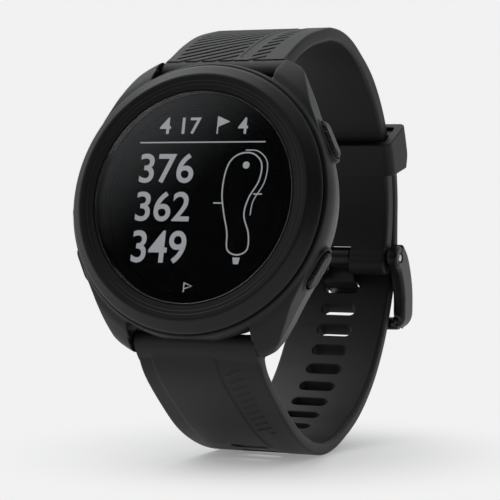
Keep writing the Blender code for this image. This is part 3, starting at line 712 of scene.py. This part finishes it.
def build_display():
    """A made-up hole: its numbers, and a map with a second line beside it, a flag spot and a tee."""
    number_ink = [
        line_shape([(-9.6, 8.3), (11.3, 8.36)], 0.22),
        text_shape("4 17", -6.5, 0.4, 9.6, 12.2),
        text_shape("4", 6.6, 8.2, 9.6, 12.2),
        line_shape([(3.2, 9.6), (3.2, 12.3)], 0.24),
        prism([(3.3, 12.3), (5.2, 11.5), (3.3, 10.7)], -0.05, 0.05),
        text_shape("376", -9.2, -0.1, 2.0, 6.6),
        text_shape("362", -9.2, -0.1, -3.9, 0.7),
        text_shape("349", -9.2, -0.1, -10.3, -5.3),
        line_shape([(3.7, -1.0), (5.2, -1.0)], 0.22),
        line_shape([(10.1, 0.4), (11.5, 0.4)], 0.22),
        line_shape([(0.2, -14.9), (0.2, -13.1)], 0.2),
        line_shape([(0.2, -13.2), (1.5, -13.65), (0.2, -14.1)], 0.2),
    ]
    ink("display_numbers", number_ink)

    dot = moved(rod(0.55, -0.05, 0.05), Matrix.Translation((8.5, 4.8, 0)))
    marker = prism([(7.7, -9.2), (8.9, -9.2), (8.7, -10.2), (7.9, -10.2)], -0.05, 0.05)
    outline = [(7.6, 6.6), (9.6, 6.5), (11.0, 5.0), (10.8, 2.4), (9.4, -0.2)]
    outline += [(8.9, -2.8), (9.9, -5.6), (9.9, -8.0)]
    back_side = [(8.3, -8.8), (6.7, -8.0), (6.4, -5.4), (5.6, -2.6), (5.0, 0.4), (5.2, 3.6), (6.0, 5.6)]
    loop = smooth_curve(outline + back_side, 8, True)
    second = [(8.2, 7.1), (10.3, 6.9), (11.9, 5.2), (11.7, 2.2), (10.2, -0.6), (9.9, -2.8)]
    beside = line_shape(smooth_curve(second, 8), 0.18)
    map_ink = [line_shape(loop, 0.24, True), beside, dot, marker]
    ink("display_hole_map", map_ink)


# Strap


def side_point(out, height):
    """A point of the watch's middle plane, given on the watch's axes, on the strap's."""
    back = out * math.sin(LEAN) - height * math.cos(LEAN)
    return Vector((0, back, out * math.cos(LEAN) + height * math.sin(LEAN)))


def arc_point(radius, degrees):
    """A point on a circle about the middle of the strap's arc behind the wrist."""
    turn = math.radians(degrees)
    return LOOP_CENTRE + Vector((0, radius * math.cos(turn), radius * math.sin(turn)))


def smooth_route(points, spacing):
    """Even steps along a smooth curve through the points."""
    fine = smooth_curve([(p.y, p.z) for p in points], 20)
    fine = [Vector((0, p.x, p.y)) for p in fine]
    lengths = np.cumsum([0] + [(q - p).length for p, q in zip(fine, fine[1:])])
    count = round(lengths[-1] / spacing)
    wanted = np.linspace(0, lengths[-1], count + 1)
    ys = np.interp(wanted, lengths, [p.y for p in fine])
    zs = np.interp(wanted, lengths, [p.z for p in fine])
    return [Vector((0, y, z)) for y, z in zip(ys, zs)]


def short_route(spacing):
    """From the upper bar over the top and down behind to the buckle's pin."""
    start = side_point(BAR_OUT, BAR_DEPTH) + Vector((0, 0.2, 0.5))
    over_top = [start] + [Vector((0, y, z)) for y, z in ((14.8, 21.0), (18.2, 22.6), (23.2, 24.3))]
    round_back = [arc_point(SHORT_ARC, degrees) for degrees in range(95, -18, -4)]
    return smooth_route(over_top + round_back, spacing)


def long_route(spacing):
    """From the lower bar under the wrist, up through the buckle, and on as the tail."""
    start = side_point(-BAR_OUT, BAR_DEPTH) + Vector((0, 0.3, -0.5))
    under = ((4.9, -26.8), (9.8, -31.4), (16.0, -36.2), (22.3, -39.3), (28.2, -40.85), (33.4, -40.95))
    behind = ((38.5, -39.85), (45.7, -36.9), (52.4, -31.9), (57.6, -25.4))
    past_buckle = ((61.4, -17.8), (63.4, -11.9), (63.6, -7.6))
    bottom = [start] + [Vector((0, y, z)) for y, z in under + behind + past_buckle]
    tail = [arc_point(TAIL_ARC, -3.5 + 3.1 * i) for i in range(10)]
    return smooth_route(bottom + tail, spacing)


def frames_of(route):
    """(place, direction along, direction out of the loop, distance so far) at each point of a route."""
    found = []
    distance = 0
    for i, place in enumerate(route):
        along = (route[min(i + 1, len(route) - 1)] - route[max(i - 1, 0)]).normalized()
        if i:
            distance += (place - route[i - 1]).length
        out = along.cross(ACROSS)
        if out.dot(place - Vector((0, 30, -7))) < 0:
            out.negate()
        found.append((place, along, out, distance))
    return found


def eased(value, start, end):
    """0 before start and 1 past end, with a smooth change between them."""
    share = min(max((value - start) / (end - start), 0), 1)
    return share * share * (3 - 2 * share)


def half_width(distance):
    """The strap narrows from the lugs to the buckle."""
    return (STRAP_WIDTH + (BUCKLE_WIDTH - STRAP_WIDTH) * eased(distance, TAPER_START, TAPER_END)) / 2


def short_faces(place):
    """Depths of the inner and outer face; this half gets thinner where the tail lies over it."""
    back = place - LOOP_CENTRE
    share = eased(math.degrees(math.atan2(back.z, back.y)), 47, 65)
    return -1.2 + 0.2 * share, 1.75 - 0.55 * share


def long_faces(_place):
    return -0.9, 1.2


def section(wide, low, top, columns):
    """The strap's cross-section from its inner left edge round over the outer face, with soft edges."""
    inner, outer = 0.75, 0.45
    corners = (
        (-wide + inner, low + inner, inner, 270),
        (-wide + outer, top - outer, outer, 180),
        (wide - outer, top - outer, outer, 90),
        (wide - inner, low + inner, inner, 0),
    )
    points = []
    for number, (x, z, radius, start) in enumerate(corners):
        for k in range(7):
            turn = math.radians(start - 15 * k)
            points.append((x + radius * math.cos(turn), z + radius * math.sin(turn)))
        if number == 1:
            left, right = -wide + outer, wide - outer
            points += [(left + (right - left) * i / columns, top) for i in range(1, columns)]
    return points


def stripes(value, pitch, width, depth):
    """Depth of a run of narrow V grooves at value."""
    off = abs((value / pitch) % 1 - 0.5) * pitch
    return depth * max(0, 1 - off / (width / 2))


def inside(value, low, high, soft=0.25):
    """1 between low and high, with soft borders."""
    return eased(value, low, low + soft) * (1 - eased(value, high - soft, high))


def short_relief(x, distance):
    """Two fields of slanting grooves over the top, with a plain band between them."""
    slant = distance - 0.55 * x
    wide_field = inside(x, -8.6, 1.6 + 0.10 * distance) * inside(distance, -1, 25)
    narrow_field = inside(x, 3.9 + 0.10 * distance, 6.6 + 0.06 * distance) * inside(distance, -1, 17)
    cut = stripes(slant, 1.6, 0.6, 0.4) * max(wide_field, narrow_field)
    step = 0.1 * eased(x, 2.0 + 0.1 * distance, 2.2 + 0.1 * distance)
    return -cut - step * (1 - eased(x, 3.6 + 0.1 * distance, 3.8 + 0.1 * distance)) * inside(distance, 1, 25)


def long_relief(x, distance):
    """A raised middle panel between two fine steps, and a patch of slanting ribs on its right."""
    left_line, right_line = -7.9 + 0.035 * distance, 3.0 + 0.04 * distance
    panel = 0.16 * eased(x, left_line, left_line + 0.2) * (1 - eased(x, right_line - 0.2, right_line))
    patch = inside(x, right_line + 0.5, right_line + 3.7, 0.4) * inside(distance, 2.5, 19, 0.5)
    ribs = stripes(distance + 0.45 * x, 1.6, 0.65, 0.22) * patch
    return panel * (1 - eased(distance, 24, 27)) + ribs


def band(route, faces_at, relief, relief_end):
    """The strap as a fine grid. Its steps are short where it carries relief and longer beyond."""
    rings = []
    skipped = 0
    for place, _, out, distance in frames_of(route):
        if distance > relief_end and skipped < 3:
            skipped += 1
            continue
        skipped = 0
        wide = half_width(distance)
        low, top = faces_at(place)
        low -= 0.8 * max(0, 1 - distance / 6) ** 2
        ring = []
        for x, depth in section(wide, low, top, 150):
            lift = relief(x, distance) if depth > top - 1e-6 and distance < relief_end else 0
            ring.append(place + Vector((x, 0, 0)) + out * (depth + lift))
        rings.append(ring)
    return skin(rings)


def slot_places():
    """A matrix for each slot: X across the strap, Y along it and Z out of it."""
    frames = frames_of(long_route(1.5))
    offsets = [place - TANG_SLOT_PLACE for place, _, _, _ in frames]
    misses = [abs(offset.z) + abs(offset.y) for offset in offsets]
    tang_distance = frames[int(np.argmin(misses))][3]
    distances = [row[3] for row in frames]
    found = []
    for index in range(-SLOTS_PAST_TANG, SLOTS_BEFORE_TANG + 1):
        wanted = tang_distance - index * SLOT_PITCH
        i = int(np.searchsorted(distances, wanted)) - 1
        share = (wanted - distances[i]) / (distances[i + 1] - distances[i])
        here, there = frames[i], frames[i + 1]
        place = here[0].lerp(there[0], share)
        along = here[1].lerp(there[1], share).normalized()
        out = here[2].lerp(there[2], share).normalized()
        found.append(axes(along.cross(out), along, out, place))
    return found


def slot_cutter(place, slant):
    """A slot with a softened mouth on each face of the strap; slant leans it down towards the outside."""
    rings = []
    for height, grow in ((-3, 1.8), (-0.95, 0.3), (-0.7, 0), (1.0, 0), (1.25, 0.25), (3, 1.8)):
        outline = stadium(SLOT_LENGTH + grow, SLOT_WIDTH + grow, 12)
        rings.append([Vector((x, y - slant * (height + 0.9), height)) for x, y in outline])
    return moved(skin(rings), place)


def lug_end(end):
    """The strap's round end between a pair of lugs (end is 1 at the top), its bore and its knob window."""
    side = [(20.3, -5.6), (21.3, -5.65), (22.3, -6.2), (23.2, -7.2), (24.1, -8.4)]
    side += [(22.6, -9.9), (21.6, -9.3), (20.4, -9.0), (19.6, -8.2), (19.6, -6.1)]
    points = [side_point(end * out, height) for out, height in side]
    half = STRAP_WIDTH / 2 - 0.06
    shape = across(rounded([(p.y, p.z) for p in points], 0.5), -half, half)
    place = side_point(end * BAR_OUT, BAR_DEPTH)
    at = Matrix.Translation(place) @ Matrix.Rotation(math.pi / 2 - LEAN, 4, "X")
    bore = moved(along_x(rod(1.07, -12, 12)), at)
    knob = 6.5
    window = prism([(knob - 2.2, -1.2), (knob + 1.2, -1.2), (knob + 1.2, 1.2), (knob - 2.2, 1.2)], -4, 0)
    return shape, bore, moved(window, at)


def build_strap():
    """Both halves of the strap: the short one ends in a loop round the pin, with a notch for the tang."""
    silicone = FINISHES["silicone"]
    root, bore, window = lug_end(1)
    notch_low, notch_high = PIN + Vector((-2.6, -6, -5)), PIN + Vector((2.6, 6, 1.85))
    notch = [(notch_low.x, notch_low.y), (notch_high.x, notch_low.y)]
    notch += [(notch_high.x, notch_high.y), (notch_low.x, notch_high.y)]
    end = rounded([(0, -9.1), (2.1, -9.1), (2.1, 9.1), (0, 9.1)], [0, 0.5, 0.5, 0], 5)
    eye = moved(along_x(lathe(end, 64)), Matrix.Translation(PIN))
    tip = moved(along_x(lathe(end, 64)), Matrix.Translation(PIN + Vector((0, -0.3, -0.9))))
    pin_bore = moved(along_x(rod(PIN_BORE, -12, 12)), Matrix.Translation(PIN))
    body = combined(
        band(short_route(0.12), short_faces, short_relief, 26),
        ("UNION", root),
        ("UNION", eye),
        ("UNION", tip),
        ("DIFFERENCE", bore),
        ("DIFFERENCE", window),
        ("DIFFERENCE", pin_bore),
        ("DIFFERENCE", prism(notch, notch_low.z, notch_high.z)),
    )
    piece("strap_short_band", body, STRAP, silicone, "case", ["strap_short"], True)

    root, bore, window = lug_end(-1)
    cutters = []
    for i, place in enumerate(slot_places()):
        cutters.append(slot_cutter(place, 0 if i == SLOTS_PAST_TANG else SLOT_SLANT))
    body = combined(
        band(long_route(0.12), long_faces, long_relief, 27),
        ("UNION", root),
        ("DIFFERENCE", bore),
        ("DIFFERENCE", window),
        ("DIFFERENCE", together(cutters)),
    )
    piece("strap_long_band", body, STRAP, silicone, "case", ["strap_long"], True)


def build_keeper():
    """The sliding loop round both halves, bent to their arc and sloped at its lower end."""
    room_in = SHORT_ARC - 1.2 - KEEPER_ROOM
    room_out = TAIL_ARC + 1.2 + KEEPER_ROOM
    room_side = BUCKLE_WIDTH / 2 + KEEPER_ROOM
    wall = KEEPER_WALL

    def ring(angle, low, high, side, radius):
        turn = math.radians(angle)
        outline = rounded([(-side, low), (-side, high), (side, high), (side, low)], radius, 6)
        return [Vector((p.x, p.y * math.cos(turn), p.y * math.sin(turn))) + LOOP_CENTRE for p in outline]

    outside = []
    inner = []
    for i in range(13):
        share = (i - 6) / 6
        angle = KEEPER_ANGLE + KEEPER_HALF_ANGLE * share
        slope = 1.1 * max(0, -share - 0.45) / 0.55
        outside.append(ring(angle, room_in - wall, room_out + wall - slope, room_side + wall, 1.5))
        angle = KEEPER_ANGLE + (KEEPER_HALF_ANGLE + 3) * share
        inner.append(ring(angle, room_in, room_out, room_side, 0.9))
    shape = combined(skin(outside), ("DIFFERENCE", skin(inner)))
    shape = moulded(shape, 0.11, 6)
    keeper = "strap_keeper"
    piece("strap_keeper_loop", shape, STRAP, FINISHES["silicone"], keeper, [keeper])


def frame_route():
    """The buckle frame's wire: down one arm, along the far bar and up the other arm."""
    arm = [(59.9, -11.1), (61.7, -12.6), (63.0, -15.0), (63.8, -17.6), (63.9, -20.2)]
    half = [Vector((FRAME_MIDDLE, y, z)) for y, z in arm]
    half += [FAR_BAR + Vector(point) for point in ((10.3, 0.15, 1.1), (9.6, 0.05, 0.3), (8.3, 0, 0))]
    return smooth_curve(half + [Vector((-point.x, point.y, point.z)) for point in reversed(half)], 8)


def bored(shape):
    """A buckle piece with the pin's bore through it."""
    return combined(shape, ("DIFFERENCE", moved(along_x(rod(PIN_BORE, -12, 12)), Matrix.Translation(PIN))))


def tang_plate():
    """The folded plate: how far along the strap, how far out of it and how wide, step by step."""
    steps = (
        (-6.2, -3.6, 2.35),
        (-4.6, -3.1, 2.35),
        (-3.4, -2.2, 2.35),
        (-2.4, -1.98, 2.45),
        (-0.75, -1.95, 2.95),
        (-0.15, -1.0, 2.9),
        (0.0, 1.7, 2.9),
        (0.7, 2.65, 2.8),
        (1.9, 3.0, 2.4),
    )
    place = slot_places()[SLOTS_PAST_TANG]
    rings = []
    thick = 0.4
    route = [place @ Vector((0, -s, o)) for s, o, _ in steps]
    for i, (point, (_, _, wide)) in enumerate(zip(route, steps)):
        direction = (route[min(i + 1, len(route) - 1)] - route[max(i - 1, 0)]).normalized()
        over = direction.cross(ACROSS).normalized()
        outline = rounded([(-wide, -thick), (wide, -thick), (wide, thick), (-wide, thick)], 0.25)
        rings.append([point + Vector((x, 0, 0)) + over * z for x, z in outline])
    return skin(rings)


def build_buckle():
    """The frame with an ear at each end of the pin, the tang on its knuckle, and the pin."""
    metal = FINISHES["buckle"]
    pieces = [blade(frame_route(), 1.1, 2.4)]
    for low in (9.5, -11.4):
        ear = rounded([(0, low), (2.1, low), (2.1, low + 1.9), (0, low + 1.9)], [0, 0.5, 0.5, 0], 5)
        pieces.append(moved(along_x(lathe(ear, 64)), Matrix.Translation(PIN)))
    shape = bored(moulded(together(pieces), 0.09, 3))
    piece("buckle_frame_cast", shape, STRAP, metal, "buckle_frame", ["buckle_frame"])

    knuckle = moved(along_x(rod(1.75, -2.35, 2.35, 48)), Matrix.Translation(PIN))
    shape = bored(moulded(together([tang_plate(), knuckle]), 0.09, 2))
    piece("buckle_tang_cast", shape, STRAP, metal, "buckle_tang", ["buckle_tang"])

    half = 11.4
    outline = [(0, -half), (PIN_RADIUS, -half), (PIN_RADIUS, half), (0, half)]
    shape = moved(along_x(lathe(rounded(outline, [0, 0.2, 0.2, 0], 4), 48)), Matrix.Translation(PIN))
    piece("buckle_pin_turned", shape, STRAP, FINISHES["steel"], "case", ["buckle_pin"], True)


# Camera, light and floor


def build_camera():
    data = bpy.data.cameras.new("camera")
    data.lens = CAMERA_LENS
    data.sensor_width = 36
    obj = bpy.data.objects.new("camera", data)
    bpy.context.scene.collection.objects.link(obj)
    obj.location = FACE_MIDDLE + CAMERA_FROM_LENS * MM
    obj.rotation_euler = (math.radians(CAMERA_TILT), 0, math.radians(CAMERA_TURN))
    bpy.context.scene.camera = obj


def softbox(name, place, target, size, power):
    """A rectangular light turned towards its target."""
    data = bpy.data.lights.new(name, "AREA")
    data.shape = "RECTANGLE"
    data.size, data.size_y = size
    data.energy = power
    obj = bpy.data.objects.new(name, data)
    bpy.context.scene.collection.objects.link(obj)
    obj.location = place
    obj.rotation_euler = (Vector(target) - Vector(place)).to_track_quat("-Z", "Y").to_euler()


def build_studio():
    """A plain pale background for the camera, a split dome for the reflections, and two softboxes."""
    world = bpy.data.worlds.new("studio")
    bpy.context.scene.world = world
    world.use_nodes = True
    nodes, links = world.node_tree.nodes, world.node_tree.links
    seen = nodes["Background"]
    seen.inputs["Color"].default_value = (BACKGROUND, BACKGROUND, BACKGROUND, 1)
    ambient = nodes.new("ShaderNodeBackground")
    ambient.inputs["Color"].default_value = (0.96, 0.98, 1, 1)
    coordinate = nodes.new("ShaderNodeTexCoord")
    facing = nodes.new("ShaderNodeVectorMath")
    facing.operation = "DOT_PRODUCT"
    facing.inputs[1].default_value = DOME_SIDE
    links.new(coordinate.outputs["Generated"], facing.inputs[0])
    dome = nodes.new("ShaderNodeMapRange")
    dome.interpolation_type = "SMOOTHSTEP"
    dome.inputs["From Min"].default_value = 0.0
    dome.inputs["From Max"].default_value = DOME_EDGE
    dome.inputs["To Min"].default_value = DOME_DARK
    dome.inputs["To Max"].default_value = DOME_PALE
    links.new(facing.outputs["Value"], dome.inputs["Value"])
    links.new(dome.outputs["Result"], ambient.inputs["Strength"])
    path = nodes.new("ShaderNodeLightPath")
    choice = nodes.new("ShaderNodeMixShader")
    links.new(path.outputs["Is Camera Ray"], choice.inputs["Fac"])
    links.new(ambient.outputs[0], choice.inputs[1])
    links.new(seen.outputs[0], choice.inputs[2])
    links.new(choice.outputs[0], nodes["World Output"].inputs["Surface"])

    middle = Vector((0, 0, 0.035))
    softbox("top", (-0.2, 0.08, 0.47), middle, (0.45, 0.45), 1.1)
    softbox("right_strip", (0.36, 0.10, 0.10), middle, (0.10, 0.4), 0.2)


def build_floor():
    """A round pale floor that turns into the background's own shade away from the watch."""
    shape = bmesh.new()
    rims = []
    turns = [2 * math.pi * i / 96 for i in range(96)]
    for radius in np.linspace(0.02, 1.5, 40):
        rims.append([shape.verts.new((radius * math.cos(a), radius * math.sin(a), 0)) for a in turns])
    shape.faces.new(rims[0])
    for here, there in zip(rims, rims[1:]):
        for i in range(96):
            j = (i + 1) % 96
            shape.faces.new((here[i], there[i], there[j], here[j]))
    mesh = bpy.data.meshes.new("floor")
    shape.to_mesh(mesh)
    shape.free()
    floor = bpy.data.objects.new("floor", mesh)
    bpy.context.scene.collection.objects.link(floor)
    floor.location.z = -0.00002

    material = finish("floor_paper", (0.8, 0.8, 0.81), 0.9, grain=600, bump=0.01, mottle=0.01)
    nodes, links = material.node_tree.nodes, material.node_tree.links
    distance = nodes.new("ShaderNodeVectorMath")
    distance.operation = "LENGTH"
    coordinate = next(node for node in nodes if node.type == "TEX_COORD")
    links.new(coordinate.outputs["Object"], distance.inputs[0])
    fade = nodes.new("ShaderNodeMapRange")
    fade.interpolation_type = "SMOOTHSTEP"
    fade.inputs["From Min"].default_value = 0.0
    fade.inputs["From Max"].default_value = FLOOR_FADE
    fade.inputs["To Min"].default_value = FLOOR_START
    links.new(distance.outputs["Value"], fade.inputs["Value"])
    far = nodes.new("ShaderNodeEmission")
    far.inputs["Color"].default_value = (BACKGROUND, BACKGROUND, BACKGROUND, 1)
    choice = nodes.new("ShaderNodeMixShader")
    links.new(fade.outputs["Result"], choice.inputs["Fac"])
    links.new(nodes["Principled BSDF"].outputs[0], choice.inputs[1])
    links.new(far.outputs[0], choice.inputs[2])
    links.new(choice.outputs[0], nodes["Material Output"].inputs["Surface"])
    mesh.materials.append(material)


build_camera()
dress_cad_nodes()
build_case()
build_front()
build_gap_shade_ring()
build_back()
build_buttons()
build_display()
build_strap()
build_keeper()
build_buckle()
build_studio()
build_floor()
bpy.context.scene.view_settings.view_transform = "Standard"
